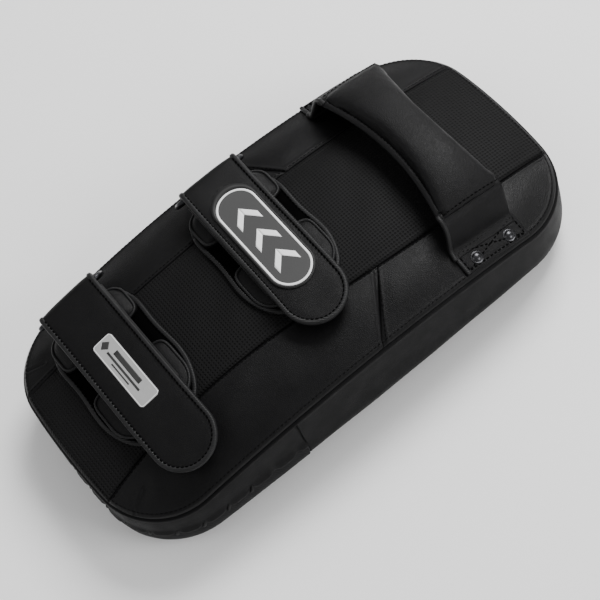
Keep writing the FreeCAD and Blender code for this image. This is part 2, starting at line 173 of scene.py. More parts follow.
def phi_at(s):
    return np.interp(np.mod(s, PERIMETER), LOOP_S, LOOP_PHI)


def s_where(x, near):
    """Arc length at which the outline passes x, on the near or the far side."""
    side = (LOOP[:, 1] < 0) if near else (LOOP[:, 1] > 0)
    k = np.where(side)[0]
    k = k[np.argsort(LOOP[k, 0])]
    return float(np.interp(x, LOOP[k, 0], LOOP_S[k]))


def inside(x, y, step=3):
    """Distance from points to the outline, inwards."""
    p = np.stack([np.ravel(x), np.ravel(y)], -1)
    a = LOOP[:-1:step]
    b = np.roll(a, -1, 0)
    ab = b - a
    best = np.full(len(p), 1e9)
    for i in range(0, len(p), 4000):
        q = p[i:i + 4000, None, :] - a
        t = np.clip((q * ab).sum(2) / (ab**2).sum(1), 0, 1)
        best[i:i + 4000] = np.sqrt(((q - ab * t[..., None]) ** 2).sum(2).min(1))
    return best.reshape(np.shape(x))


def waves(x, y, seed=0.0):
    """A smooth, repeatable unevenness between -1 and 1."""
    a = np.sin(x * 0.071 + 1.3 + seed) * np.sin(y * 0.093 + 0.4 - seed)
    b = np.sin(x * 0.153 - y * 0.117 + 2.1 * seed + 0.7)
    c = np.sin(x * 0.031 + y * 0.047 + 3.7 + seed)
    return (a + 0.6 * b + 0.8 * c) / 2.4


# ---------------------------------------------------------------- mesh helpers
def mesh_object(name, verts, faces, material):
    mesh = bpy.data.meshes.new(name)
    mesh.from_pydata((np.asarray(verts, float) * MM).tolist(), [], [list(f) for f in faces])
    mesh.validate()
    work = bmesh.new()
    work.from_mesh(mesh)
    bmesh.ops.remove_doubles(work, verts=work.verts, dist=1e-6)
    bmesh.ops.recalc_face_normals(work, faces=work.faces)
    work.to_mesh(mesh)
    work.free()
    mesh.materials.append(material)
    mesh.shade_smooth()
    obj = bpy.data.objects.new(name, mesh)
    bpy.context.scene.collection.objects.link(obj)
    return obj


def grid_faces(rows, cols, start=0, wrap=False):
    faces = []
    last = cols if wrap else cols - 1
    for i in range(rows - 1):
        for j in range(last):
            a, b = start + i * cols + j, start + i * cols + (j + 1) % cols
            faces.append((a, b, b + cols, a + cols))
    return faces


def capped_faces(rows, cols, start=0):
    """The faces of a tube with both ends closed."""
    last = start + (rows - 1) * cols
    ends = [tuple(range(start, start + cols))[::-1], tuple(range(last, last + cols))]
    return grid_faces(rows, cols, start, wrap=True) + ends


def grid_normals(grid):
    return unit(np.cross(np.gradient(grid, axis=0), np.gradient(grid, axis=1)))


def plate(name, grid, thick, material, out=(0, 0, 1)):
    """A closed sheet whose outer surface is the grid; out is roughly its outward direction."""
    n = grid_normals(grid)
    if (n * np.asarray(out)).sum() < 0:
        n = -n
    rows, cols = grid.shape[:2]
    size = rows * cols
    faces = grid_faces(rows, cols) + grid_faces(rows, cols, size)
    rim = ([(0, j) for j in range(cols)] + [(i, cols - 1) for i in range(1, rows)]
           + [(rows - 1, j) for j in range(cols - 2, -1, -1)] + [(i, 0) for i in range(rows - 2, 0, -1)])
    ids = [i * cols + j for i, j in rim]
    for a, b in zip(ids, ids[1:] + ids[:1]):
        faces.append((a, b, b + size, a + size))
    verts = np.concatenate([grid.reshape(-1, 3), (grid - n * thick).reshape(-1, 3)])
    return mesh_object(name, verts, faces, material)


def tube(name, rings, material, closed=False):
    """A skin over closed rings, capped unless closed joins the last ring to the first."""
    rings = np.asarray(rings, float)
    rows, cols = rings.shape[:2]
    if closed:
        faces = grid_faces(rows, cols, wrap=True)
        last = (rows - 1) * cols
        faces += [(last + j, last + (j + 1) % cols, (j + 1) % cols, j) for j in range(cols)]
    else:
        faces = capped_faces(rows, cols)
    return mesh_object(name, rings.reshape(-1, 3), faces, material)


def catmull(points, count):
    """A smooth curve through the points, evenly spaced."""
    p = np.asarray(points, float)
    p = np.concatenate([[2 * p[0] - p[1]], p, [2 * p[-1] - p[-2]]])
    out = []
    for i in range(1, len(p) - 2):
        t = np.linspace(0, 1, 24, endpoint=False)[:, None]
        a, b, c, d = p[i - 1], p[i], p[i + 1], p[i + 2]
        out.append(0.5 * (2 * b + (c - a) * t + (2 * a - 5 * b + 4 * c - d) * t**2
                          + (-a + 3 * b - 3 * c + d) * t**3))
    curve = np.concatenate(out + [p[-2:-1]])
    return resample(curve, count)


def resample(curve, count):
    curve = np.asarray(curve, float)
    s = arc_lengths(curve)
    t = np.linspace(0, s[-1], count)
    return np.stack([np.interp(t, s, curve[:, k]) for k in range(curve.shape[1])], -1)


def evenly_round(outline_points, count):
    """A closed outline, evenly spaced."""
    return resample(np.concatenate([outline_points, outline_points[:1]]), count + 1)[:-1]


def rounded_box(x0, x1, y0, y1, r, count=14):
    """The outline of a rectangle with round corners."""
    out = []
    for cx, cy, start in ((x1 - r, y1 - r, 0), (x0 + r, y1 - r, 90), (x0 + r, y0 + r, 180), (x1 - r,
                                                                                             y0 + r, 270)):
        for t in np.linspace(0, 90, count):
            q = math.radians(start + t)
            out.append((cx + r * math.cos(q), cy + r * math.sin(q)))
    return np.array(out)


def length_of(curve):
    return float(np.linalg.norm(np.diff(curve, axis=0), axis=1).sum())


def sweep(name, path, normals, section, material, closed=False):
    """A section of (across, up) points carried along a path, up along the normals."""
    path, normals = np.asarray(path, float), np.asarray(normals, float)
    step = np.roll(path, -1, 0) - np.roll(path, 1, 0) if closed else np.gradient(path, axis=0)
    tangent = unit(step)
    normals = unit(normals - (normals * tangent).sum(1, keepdims=True) * tangent)
    across = np.cross(tangent, normals)
    rings = [p + np.outer(section[:, 0], a) + np.outer(section[:, 1], n)
             for p, a, n in zip(path, across, normals)]
    return tube(name, rings, material, closed=closed)


def rounded_section(half_w, half_t, power=3.0, count=20):
    a = full_turn(count)
    return np.stack([half_w * squarish(np.cos(a), power), half_t * squarish(np.sin(a), power)], -1)


def stitches(name, runs, pitch=3.4, length=2.3, radius=0.42, sink=0.1):
    """Rows of thread: each run is (path, normals). A stitch is a short bead that dips at both ends."""
    verts, faces = [], []
    sides = 6
    beads = ((-1.0, 0.35), (-0.8, 0.8), (-0.35, 1.0), (0.35, 1.0), (0.8, 0.8), (1.0, 0.35))
    for path, normals in runs:
        total = length_of(path)
        count = max(int(total / pitch), 1)
        s = arc_lengths(path)
        for k in range(count):
            mid = (k + 0.5) * total / count
            ends = [np.array([np.interp(mid + q, s, path[:, i]) for i in range(3)])
                    for q in (-length / 2, 0, length / 2)]
            n = np.array([np.interp(mid, s, normals[:, i]) for i in range(3)])
            t = ends[2] - ends[0]
            if np.linalg.norm(t) < 1e-6:
                continue
            t = unit(t)
            n = unit(n - t * (n @ t))
            b = np.cross(t, n)
            faces += capped_faces(len(beads), sides, len(verts))
            for f, narrow in beads:
                r = radius * narrow
                low = radius * (0.9 - 0.9 * (1 - f * f)) + sink
                c = ends[1] + t * f * length / 2 + n * (radius * 0.55 - low)
                verts += [c + r * (math.cos(a) * b + math.sin(a) * n) for a in full_turn(sides)]
    return mesh_object(name, verts, faces, THREAD_WITH_SHADE)


def stand_in(nodes):
    if nodes:
        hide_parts(*nodes)


def place(obj, body, slot, *nodes, fill=None):
    """Rides obj on a body, in place of the CAD nodes; fill is not used."""
    stand_in(nodes)
    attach(obj, body)


def crossing(obj, a, b, start, end, slot, *nodes):
    """Bakes obj's transform into its mesh, in place of the CAD nodes."""
    stand_in(nodes)
    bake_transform(obj)


def select_only(*objects):
    for other in bpy.context.selected_objects:
        other.select_set(False)
    for obj in objects:
        obj.select_set(True)
    bpy.context.view_layer.objects.active = objects[0]


def apply_modifier(obj, kind, **values):
    modifier = obj.modifiers.new(kind.lower(), kind)
    for key, value in values.items():
        setattr(modifier, key, value)
    bpy.ops.object.modifier_apply(modifier=modifier.name)


def join(objects, name):
    select_only(*objects)
    bpy.ops.object.join()
    objects[0].name = name
    return objects[0]


# ---------------------------------------------------------------- materials
class Nodes:
    """A material's node tree, with short calls."""

    def __init__(self, name):
        self.material = bpy.data.materials.new(name)
        self.material.use_nodes = True
        self.tree = self.material.node_tree
        self.tree.nodes.clear()
        self.shader = self.add("ShaderNodeBsdfPrincipled")
        output = self.add("ShaderNodeOutputMaterial")
        self.link(self.shader.outputs[0], output.inputs[0])
        self.coords = self.add("ShaderNodeTexCoord").outputs["Object"]
        self.height = None

    def add(self, kind, **values):
        node = self.tree.nodes.new(kind)
        for key, value in values.items():
            setattr(node, key, value)
        return node

    def link(self, a, b):
        self.tree.links.new(a, b)

    def noise(self, scale, detail):
        node = self.add("ShaderNodeTexNoise")
        node.inputs["Scale"].default_value = scale
        node.inputs["Detail"].default_value = detail
        node.inputs["Roughness"].default_value = 0.55
        self.link(self.coords, node.inputs["Vector"])
        return node.outputs["Fac"]

    def cells(self, scale, feature="DISTANCE_TO_EDGE", randomness=1.0, coords=None):
        node = self.add("ShaderNodeTexVoronoi", feature=feature)
        node.inputs["Scale"].default_value = scale
        node.inputs["Randomness"].default_value = randomness
        self.link(coords or self.coords, node.inputs["Vector"])
        return node.outputs["Distance"]

    def flat(self):
        """Object coordinates without height."""
        node = self.add("ShaderNodeMapping")
        node.inputs["Scale"].default_value = (1, 1, 0)
        self.link(self.coords, node.inputs["Vector"])
        return node.outputs[0]

    def ramp(self, source, stops):
        node = self.add("ShaderNodeValToRGB")
        ramp = node.color_ramp
        for element, (at, value) in zip(ramp.elements, stops):
            element.position = at
            element.color = (*value, 1)
        self.link(source, node.inputs[0])
        return node.outputs[0]

    def grey(self, source, stops):
        return self.ramp(source, [(at, (v, v, v)) for at, v in stops])

    def mottled(self, scale, detail, low, high):
        """A colour that wanders softly between two."""
        return self.ramp(self.noise(scale, detail), [(0.3, low), (0.7, high)])

    def bump(self, source, distance, strength=1.0):
        node = self.add("ShaderNodeBump")
        node.inputs["Distance"].default_value = distance
        node.inputs["Strength"].default_value = strength
        self.link(source, node.inputs["Height"])
        if self.height is not None:
            self.link(self.height, node.inputs["Normal"])
        self.height = node.outputs[0]

    def feed(self, name, value):
        socket = self.shader.inputs[name]
        if isinstance(value, bpy.types.NodeSocket):
            self.link(value, socket)
        else:
            socket.default_value = value

    def done(self, colour, rough, **sockets):
        self.feed("Base Color", (*colour, 1) if isinstance(colour, tuple) else colour)
        self.feed("Roughness", rough)
        if self.height is not None:
            self.feed("Normal", self.height)
        for key, value in sockets.items():
            self.feed(key.replace("_", " "), value)
        return self.material


def leather(name, tone, rough=0.46, grain=900.0, creases=0.0, spec=0.13):
    n = Nodes(name)
    tint, depth = (1.0, 0.97, 1.08), 0.00012
    colour = n.mottled(38.0, 4.0, *(tuple(tone * k * c for c in tint) for k in (0.8, 1.25)))
    n.bump(n.noise(16.0, 2.0), 0.0010, 0.35)
    if creases:
        n.bump(n.grey(n.cells(120.0), [(0.0, 0.0), (0.06, 1.0)]), 0.0002, creases)
    n.bump(n.grey(n.cells(grain), [(0.0, 0.0), (0.22, 1.0)]), depth, 0.55)
    n.bump(n.noise(grain * 2.2, 2.0), depth * 0.5, 0.4)
    roughness = n.grey(n.noise(70.0, 5.0), [(0.25, rough - 0.07), (0.75, rough + 0.09)])
    return n.done(colour, roughness, Specular_IOR_Level=spec)


def perforated(name, tone):
    """Cloth with a square grid of small holes."""
    n = Nodes(name)
    pitch = n.cells(1 / 0.0024, "F1", 0.0, n.flat())
    holes = n.grey(pitch, [(0.16, 0.0), (0.34, 1.0)])
    shade = n.mottled(30.0, 4.0, (tone * 0.8, tone * 0.78, tone * 0.84), (tone * 1.25, tone * 1.22,
                                                                          tone * 1.3))
    mix = n.add("ShaderNodeMix", data_type="RGBA", blend_type="MULTIPLY")
    mix.inputs[0].default_value = 1.0
    n.link(shade, mix.inputs[6])
    # painted shade: the holes are painted dark, for the shade inside each hole
    n.link(n.grey(pitch, [(0.16, 0.12), (0.34, 1.0)]), mix.inputs[7])
    n.bump(n.noise(20.0, 2.0), 0.0010, 0.4)
    n.bump(holes, 0.0005, 0.8)
    n.bump(n.noise(1500.0, 2.0), 0.0001, 0.5)
    return n.done(mix.outputs[2], 0.60, Specular_IOR_Level=0.12)


def woven(name, tone, rough=0.62, scale=1400.0, spec=0.18):
    n = Nodes(name)
    wave = n.add("ShaderNodeTexWave", wave_type="BANDS", bands_direction="DIAGONAL")
    wave.inputs["Scale"].default_value = scale / 4
    wave.inputs["Distortion"].default_value = 0.6
    n.link(n.coords, wave.inputs["Vector"])
    colour = n.mottled(90.0, 4.0, *((tone * k, tone * k, tone * k * 1.04) for k in (0.8, 1.25)))
    n.bump(wave.outputs["Fac"], 0.00016, 0.7)
    n.bump(n.noise(scale, 3.0), 0.00012, 0.6)
    return n.done(colour, rough, Specular_IOR_Level=spec)


def pile(name, tone):
    n = Nodes(name)
    colour = n.mottled(1200.0, 4.0, (tone * 0.5,) * 3, (tone * 1.6,) * 3)
    n.bump(n.cells(1500.0), 0.0006, 0.9)
    return n.done(colour, 0.9, Specular_IOR_Level=0.2, Sheen_Weight=0.3)


def foam(name, tone):
    n = Nodes(name)
    colour = n.mottled(300.0, 5.0, (tone * 0.85, tone * 0.85, tone * 0.9), (tone * 1.15, tone * 1.15,
                                                                            tone * 1.2))
    n.bump(n.cells(700.0), 0.0004, 0.6)
    return n.done(colour, 0.85, Specular_IOR_Level=0.25)


def metal(name, colour, rough):
    n = Nodes(name)
    n.bump(n.noise(260.0, 4.0), 0.00005, 0.5)
    roughness = n.grey(n.noise(120.0, 4.0), [(0.3, rough * 0.8), (0.7, rough * 1.4)])
    low, high = tuple(c * 0.85 for c in colour), tuple(min(c * 1.1, 1) for c in colour)
    return n.done(n.mottled(80.0, 3.0, low, high), roughness, Metallic=1.0)


def print_ink(name, tone, rough=0.50):
    n = Nodes(name)
    n.bump(n.noise(900.0, 3.0), 0.00008, 0.5)
    return n.done(n.mottled(200.0, 4.0, (tone * 0.94,) * 3, (tone,) * 3), rough, Specular_IOR_Level=0.45)


LEATHER = leather("cover_leather", 0.0026, 0.40)
# painted shade: the side walls get a darker copy of the cover leather, standing in for the shade on the walls
SHADED_WALL_LEATHER = leather("wall_leather", 0.0022, 0.48, spec=0.08)
STRIKE = leather("strike_leather", 0.0028, 0.45, creases=0.3)
STRAP = leather("strap_leather", 0.0026, 0.42, grain=1100.0)
# painted shade: the cuff bases are near black, far darker than the other leather, for the shade in the gap
# between the padded blocks and under the strap
CUFF_SHADE_BLACK = leather("cuff_leather", 0.0004, 0.70, grain=1000.0, spec=0.02)
MESH = perforated("mesh_panel", 0.0030)
# partly painted highlight: the binding is lighter than the leather, partly the tape's own tone and partly the
# highlight along the bound edges
BINDING_WITH_HIGHLIGHT = woven("binding", 0.0094, 0.42)
LACING = woven("lacing", 0.0014, 0.55)
# partly painted shade: the thread is darker than the leather, partly its own black and partly the shade in the
# sunken stitch lines
THREAD_WITH_SHADE = woven("thread", 0.0008, 0.75, spec=0.04)
GRIT = woven("closing_strip", 0.0090, 0.60, scale=900.0, spec=0.1)
HOOK = pile("hook_and_loop", 0.0040)
FOAM = foam("foam", 0.10)
WIRE_METAL = metal("ring_wire", (0.035, 0.035, 0.038), 0.38)
RIVET = metal("rivet_metal", (0.05, 0.05, 0.053), 0.25)
BADGE = print_ink("badge_field", 0.028, 0.55)
BADGE_EDGE = print_ink("badge_edge_black", 0.0030, 0.6)
INK = print_ink("badge_print", 0.86)
LABEL = print_ink("label_field", 0.33)
LABEL_INK = print_ink("label_print", 0.80)
LABEL_MARK = print_ink("label_mark", 0.020)

# ---------------------------------------------------------------- the cover
def seam_near(x):
    """The centre panel's near edge, which sways a little."""
    return 50 + 6 * np.sin(math.pi * x / 200) + 4 * (x / 200) ** 6


def seam_far(x):
    return 53.5 + 0 * x


def roll(d):
    """Drop over the rounded top edge at distance d from the wall."""
    q = np.clip(TOP_R - d, 0, TOP_R)
    return TOP_R - np.sqrt(TOP_R**2 - q**2)


def segment_gap(x, y, a, b):
    ax, ay, bx, by = *a, *b
    t = np.clip(((x - ax) * (bx - ax) + (y - ay) * (by - ay)) / ((bx - ax) ** 2 + (by - ay) ** 2), 0, 1)
    return np.hypot(x - ax - t * (bx - ax), y - ay - t * (by - ay))


def seam_gaps(x, y, d):
    """Distances to the seams of the arm side: the panel's edges, the side seams, the darts and the rim."""
    ay = np.abs(y)
    edge = np.where(y < 0, seam_near(x), seam_far(x))
    along, across = SIDE_SEAM_RUN
    slant = np.abs((x - SIDE_SEAM_X) * across + (ay - SIDE_SEAM_Y) * along) / SIDE_SEAM_LENGTH
    side = np.where(ay > edge - 0.3, slant, 99)
    return np.abs(ay - edge), side, segment_gap(x, ay, *DART) + 0.6, np.abs(d - SEAM_INSET)


def skin(x, y):
    """Height of the finished arm side: puffed between the seams, drawn in along them."""
    x, y = np.asarray(x, float), np.asarray(y, float)
    d = inside(x, y)
    soft, draw = PUFF, 0.0
    for gap, reach in zip(seam_gaps(x, y, d), (11, 9, 6, 14)):
        soft = soft * (1 - notch(gap, reach))
        draw = draw + notch(gap, 1.2) - 0.28 * notch(gap - 2.6, 0.9)
    return top(x, y) - roll(d) + soft - 1.05 * np.clip(draw, -0.35, 1) + 0.45 * waves(x, y) * soft


def with_skin(x, y, lift=0.0):
    return np.stack([x, y, skin(x, y) + lift], -1)


def x_end(y, inset):
    ay = np.abs(y)
    end = LENGTH / 2 - END_R + np.sqrt((END_R - inset) ** 2 - ay**2)
    corner = CORNER_X + np.sqrt(np.maximum((CORNER - inset) ** 2 - (ay - CORNER_Y) ** 2, 0))
    return np.where(ay > CORNER_Y, corner, end)


def centre_panel():
    u, v = np.meshgrid(np.linspace(-1, 1, 331), np.linspace(-1, 1, 96), indexing="ij")
    y = v * SIDE_SEAM_Y
    for _ in range(6):
        x = u * x_end(y, SEAM_INSET)
        y = -seam_near(x) + (v + 1) / 2 * (seam_near(x) + seam_far(x))
    obj = plate("back_centre_panel_visual", with_skin(x, y), PANEL_T, MESH)
    place(obj, "pad", "mesh_panel", "back_centre_panel", fill=0.7)


def seam_rows():
    """Topstitching beside the centre panel's edges and below the rim."""
    runs = []

    def run(x, y):
        runs.append((with_skin(x, y, 0.05), top_normal(x, y)))

    for sign, edge in ((-1, seam_near), (1, seam_far)):
        x = np.linspace(tip(sign < 0, False) + 4, tip(sign < 0, True) - 4, 160)
        run(x, sign * (edge(x) + TOPSTITCH_OFF))
        y = sign * np.linspace(54, 97, 24)
        run(SIDE_SEAM_X - (np.abs(y) - SIDE_SEAM_Y) * 0.68 + 2.2, y)
    run(*outline(phi_at(np.linspace(0, PERIMETER, 900)), SEAM_INSET + 2.3).T)
    place(stitches("seam_stitches", runs, 3.4, 2.3, 0.27, 0.12), "pad", "cover_leather")


def tip(near, head):
    """x at which a panel's edge meets the top seam."""
    sign, edge = (1 if head else -1), (seam_near if near else seam_far)
    x = 190.0 * sign
    for _ in range(40):
        x = 0.5 * x + 0.5 * sign * float(x_end(edge(x), SEAM_INSET))
    return x


def side_panel(near, head):
    side, end = ("near" if near else "far"), ("head" if head else "foot")
    edge = seam_near if near else seam_far
    sign = -1 if near else 1
    rows = 150 if head else 200
    inner_x = np.linspace(SIDE_SEAM_X, tip(near, head), rows)
    s0, s1 = s_where(SIDE_SEAM_OUT_X, near), s_where(tip(near, head), near)
    outer = outline(phi_at(np.linspace(s0, s1, rows)), SEAM_INSET)
    outer[-1] = (inner_x[-1], sign * edge(inner_x[-1]))
    t = np.linspace(0, 1, 46)[None, :]
    x = inner_x[:, None] * (1 - t) + outer[:, :1] * t
    y = sign * edge(inner_x)[:, None] * (1 - t) + outer[:, 1:] * t
    obj = plate(f"back_{side}_panel_{end}_visual", with_skin(x, y), PANEL_T, LEATHER)
    place(obj, "pad", "cover_leather", f"back_{side}_panel_{end}", fill=0.8)


def wall_inset(z):
    q = np.clip(BOTTOM_R - z, 0, BOTTOM_R)
    return BOTTOM_R - np.sqrt(BOTTOM_R**2 - q**2)


S_NEAR_JOINT, S_FAR_JOINT = s_where(JOINT_X, True), s_where(JOINT_X, False)
STITCH_PITCH, STITCH_COUNT = 20.0, 18
S_FOOT = float(np.interp(math.pi, LOOP_PHI, LOOP_S))


def wall(s, low, rows, bulge):
    """A piece of the side wall from the top seam down to z = low, for arc lengths s."""
    phi = phi_at(s)
    edge = outline(phi)
    rim = top(edge[:, 0], edge[:, 1])
    n = outward(phi)
    grid = []
    for i in np.linspace(SEAM_INSET, 0, 8):
        sink = 1.1 * math.exp(-(((SEAM_INSET - i) / 1.5) ** 2))
        p = edge - n * (i + 0.5 * sink)
        grid.append(np.column_stack([p, rim - (TOP_R - math.sqrt(TOP_R**2 - (TOP_R - i) ** 2)) - sink]))
    for t in np.linspace(0, 1, rows)[1:]:
        z = (rim - TOP_R) * (1 - t) + low * t
        out = bulge(s, z, t) - wall_inset(z)
        grid.append(np.column_stack([edge + n * out[:, None], z]))
    return np.array(grid)


def wall_swell(s, z, t):
    return 0.6 * np.sin(math.pi * np.clip(t, 0, 1)) ** 0.8 + 0.35 * waves(s * 0.7, z * 1.3, 1.0) - 0.9


def stitch_phase(s):
    """1 at a closing stitch and 0 midway between two."""
    return 0.5 + 0.5 * np.cos(2 * math.pi * (s - S_FOOT) / STITCH_PITCH)


def gusset_main():
    def bulge(s, z, t):
        joint = np.minimum(np.abs(s - S_NEAR_JOINT), np.abs((s - S_FAR_JOINT) % PERIMETER))
        return wall_swell(s, z, t) - 1.0 * notch(joint, 1.6) - 0.9 * notch(1 - t, 0.04)

    s = np.linspace(S_NEAR_JOINT - PERIMETER, S_FAR_JOINT, 700)
    obj = plate("gusset_main_visual", wall(s, STRIKE_Z, 30, bulge), PANEL_T, SHADED_WALL_LEATHER)
    place(obj, "pad", "cover_leather", "gusset_main", fill=0.85)


def gusset_foot():
    """The gusset round the foot, whose lower lip hangs over the closing seam between its stitches."""
    def bulge(s, z, t):
        hang = 1.9 * (1 - 0.9 * stitch_phase(s) ** 4)
        joint = np.minimum(s - S_FAR_JOINT, S_NEAR_JOINT - s)
        return wall_swell(s, z, t) + notch(1 - t, 0.16) * hang - 0.9 * notch(joint, 1.4)

    s = np.linspace(S_FAR_JOINT - 0.4, S_NEAR_JOINT + 0.4, 620)
    grid = wall(s, CLOSING_Z, 26, bulge)
    grid[-4:, :, 2] += (np.linspace(0.25, 1, 4)[:, None] * (1.4 * stitch_phase(s) ** 2 - 1.2))
    obj = plate("gusset_foot_visual", grid, 1.3, SHADED_WALL_LEATHER)
    place(obj, "pad", "cover_leather", "gusset_foot", fill=0.85)


def strike_cover():
    """The flat face with its turned-up edge, as one dished skin."""
    s = np.linspace(0, PERIMETER, 600, endpoint=False)
    phi = phi_at(s)
    n, edge = outward(phi), outline(phi)
    rings = []
    for z in np.concatenate([np.linspace(STRIKE_Z - 0.1, 0.6, 9), [0.25, 0.06, 0.0]]):
        sink = 0.9 + 0.7 * math.exp(-(((STRIKE_Z - z) / 1.2) ** 2))
        p = edge - n * (wall_inset(np.array(z)) + sink)
        rings.append(np.column_stack([p, np.full(len(p), z)]))
    rim = rings[-1][:, :2]
    for k in np.linspace(0.97, 0.02, 46):
        p = rim * k
        rings.append(np.column_stack([p, 0.28 * (1 + waves(p[:, 0] * 0.8, p[:, 1] * 0.8, 2.0)) * (1 - k**8)]))
    last = (len(rings) - 1) * len(s)
    faces = grid_faces(len(rings), len(s), wrap=True) + [tuple(last + j for j in range(len(s)))]
    obj = mesh_object("strike_cover_visual", np.concatenate(rings), faces, STRIKE)
    solid = obj.modifiers.new("thickness", "SOLIDIFY")
    solid.thickness, solid.offset = -PANEL_T * MM, 1.0
    place(obj, "pad", "strike_leather", "strike_cover", fill=0.9)


def closing_strip():
    """The part of the strike cover that turns up inside the foot gusset's lip."""
    s = np.linspace(S_FAR_JOINT + 1, S_NEAR_JOINT - 1, 500)
    phi = phi_at(s)
    n, edge = outward(phi), outline(phi)
    grid = []
    for z in np.linspace(CLOSING_Z + 3, STRIKE_Z - 0.4, 22):
        t = (CLOSING_Z - z) / (CLOSING_Z - STRIKE_Z)
        pull = stitch_phase(s) ** 2 * math.exp(-((t / 0.35) ** 2))
        out = 0.5 * math.sin(math.pi * min(max(t, 0), 1)) - 0.9 * pull - 1.4 - wall_inset(np.array(z))
        grid.append(np.column_stack([edge + n * np.reshape(out, (-1, 1)), np.full(len(s), z)]))
    place(plate("closing_strip", np.array(grid), 1.0, GRIT), "pad", "strike_leather", fill=0.85)


def closing_stitches():
    verts, faces = [], []
    rows, sides, lean = 13, 10, 1.6
    for k in range(STITCH_COUNT):
        s = S_FOOT + (k - (STITCH_COUNT - 1) / 2 - 0.5) * STITCH_PITCH
        path = []
        for t in np.linspace(-1, 1, rows):
            z = CLOSING_Z - 0.6 + 4.4 * t
            phi = float(phi_at(s + lean * t))
            p = outline(phi) + outward(phi) * (
                -float(wall_inset(np.array(z))) + 1.3 * math.sqrt(max(1 - t * t, 0)) - 1.5)
            path.append((p[0], p[1], z))
        path = np.array(path)
        tangent = unit(np.gradient(path, axis=0))
        out = np.array([math.cos(phi), math.sin(phi), 0.0])
        faces += capped_faces(rows, sides, len(verts))
        for i, p in enumerate(path):
            r = 1.25 * (1 - 0.55 * abs(-1 + i / 6) ** 4)
            b = unit(np.cross(tangent[i], out))
            m = np.cross(b, tangent[i])
            verts += [p + r * (math.cos(a) * b + 0.75 * math.sin(a) * m) for a in full_turn(sides)]
    obj = mesh_object("closing_stitches_visual", verts, faces, LACING)
    place(obj, "pad", "lacing", "closing_stitches")


# ---------------------------------------------------------------- frames of the cuffs
def turn_y(angle):
    return Matrix.Rotation(angle, 4, "Y")


def at_cuff(x):
    tilt = math.asin(x / (CROWN_R + RISE))
    return np.array(Matrix.Translation((x, 0, float(top(x, 0.0)))) @ turn_y(tilt))


def at_bar(x):
    return at_cuff(x) @ np.array(Matrix.Translation((0, BAR_Y, BAR_Z)) @ Matrix.Rotation(SLOPE, 4, "X"))


def moved(frame_matrix, points):
    points = np.asarray(points, float)
    return points @ frame_matrix[:3, :3].T + frame_matrix[:3, 3]


def turned(frame_matrix, vectors):
    return np.asarray(vectors, float) @ frame_matrix[:3, :3].T


def on_skin(x, y, lift):
    """Points lifted off the arm side along its normal."""
    return with_skin(x, y) + top_normal(x, y) * np.broadcast_to(lift, np.shape(x))[..., None]


# ---------------------------------------------------------------- the straps
def strap_line(facts):
    """The closed strap's underside in the bar's frame, as (y, z), from over the bar to the tongue's tip."""
    tip_y = facts["tongue"] - BAR_Y
    drop = (TONGUE_STARTS - tip_y) * math.tan(TONGUE_SLOPE)
    z = CLOSED_Z
    points = [(0, 2.3), (-6, 2.2), (-15, 1.4), (-24, z + 0.05), (-45, z), (-75, z), (-100, z), (-116,
                                                                                                z - 0.8),
              (tip_y, z - drop)]
    return catmull(points, 160)


def strap_at(facts, y, lift):
    """Points of the strap's sheet, lift above its underside, in the bar's frame, as (y, z)."""
    line = strap_line(facts)
    tangent = unit(np.gradient(line, axis=0))
    order = np.argsort(line[:, 0])
    known = line[order, 0]
    z = np.interp(y, known, line[order, 1])
    ny = np.interp(y, known, tangent[order, 1])
    nz = np.interp(y, known, -tangent[order, 0])
    return np.asarray(y) + ny * lift, z + nz * lift


def on_strap(facts, x, y, lift):
    yy, zz = strap_at(facts, y, lift)
    return moved(at_bar(facts["x"]), np.stack([x, yy, zz], -1))


def strap_path(facts):
    """Mid line of the strap's sheet from under the bar, round the fold, to the tongue."""
    a = np.linspace(-1.35, math.pi / 2, 22)
    loop = FOLD_R * outward(a)
    y, z = strap_at(facts, strap_line(facts)[1:, 0], STRAP_T / 2)
    return np.concatenate([loop, np.stack([y, z], -1)])


def sheet_along(path, half, tip_r, rows, cols):
    """A flat sheet along a (y, z) path: (x, y, z) points and normals, rounded at the path's end."""
    total = length_of(path)
    s = arc_lengths(path)
    body = np.linspace(0, total - tip_r, rows)
    end = total - tip_r * (1 - np.sin(np.linspace(0, math.pi / 2, 26)[1:]))
    t = np.concatenate([body, end])
    left = total - t
    width = np.where(left < tip_r, half - tip_r + np.sqrt(np.maximum(tip_r**2 - (tip_r - left) ** 2, 0)),
                     half)
    width = np.maximum(width, 0.3)
    y, z = np.interp(t, s, path[:, 0]), np.interp(t, s, path[:, 1])
    tangent = unit(np.stack([np.gradient(y, t), np.gradient(z, t)], -1))
    normal = np.stack([np.zeros(len(t)), tangent[:, 1], -tangent[:, 0]], -1)
    x = width[:, None] * np.linspace(-1, 1, cols)
    grid = np.stack([x, np.repeat(y[:, None], cols, 1), np.repeat(z[:, None], cols, 1)], -1)
    edge = np.concatenate([np.column_stack([-width, y, z]), np.column_stack([width, y, z])[::-1]])
    return grid, normal, edge, np.concatenate([normal, normal[::-1]])


def inset_path(edge, normals, d, count):
    """An edge path moved sideways into its sheet by d."""
    side = np.cross(normals, unit(np.gradient(edge, axis=0)))
    keep = edge + side * d
    centre, middle = edge.mean(0), len(edge) // 2
    if np.linalg.norm(keep[middle] - centre) > np.linalg.norm(edge[middle] - centre):
        keep = edge - side * d
    both = resample(np.concatenate([keep, normals], 1), count)
    return both[:, :3], unit(both[:, 3:])


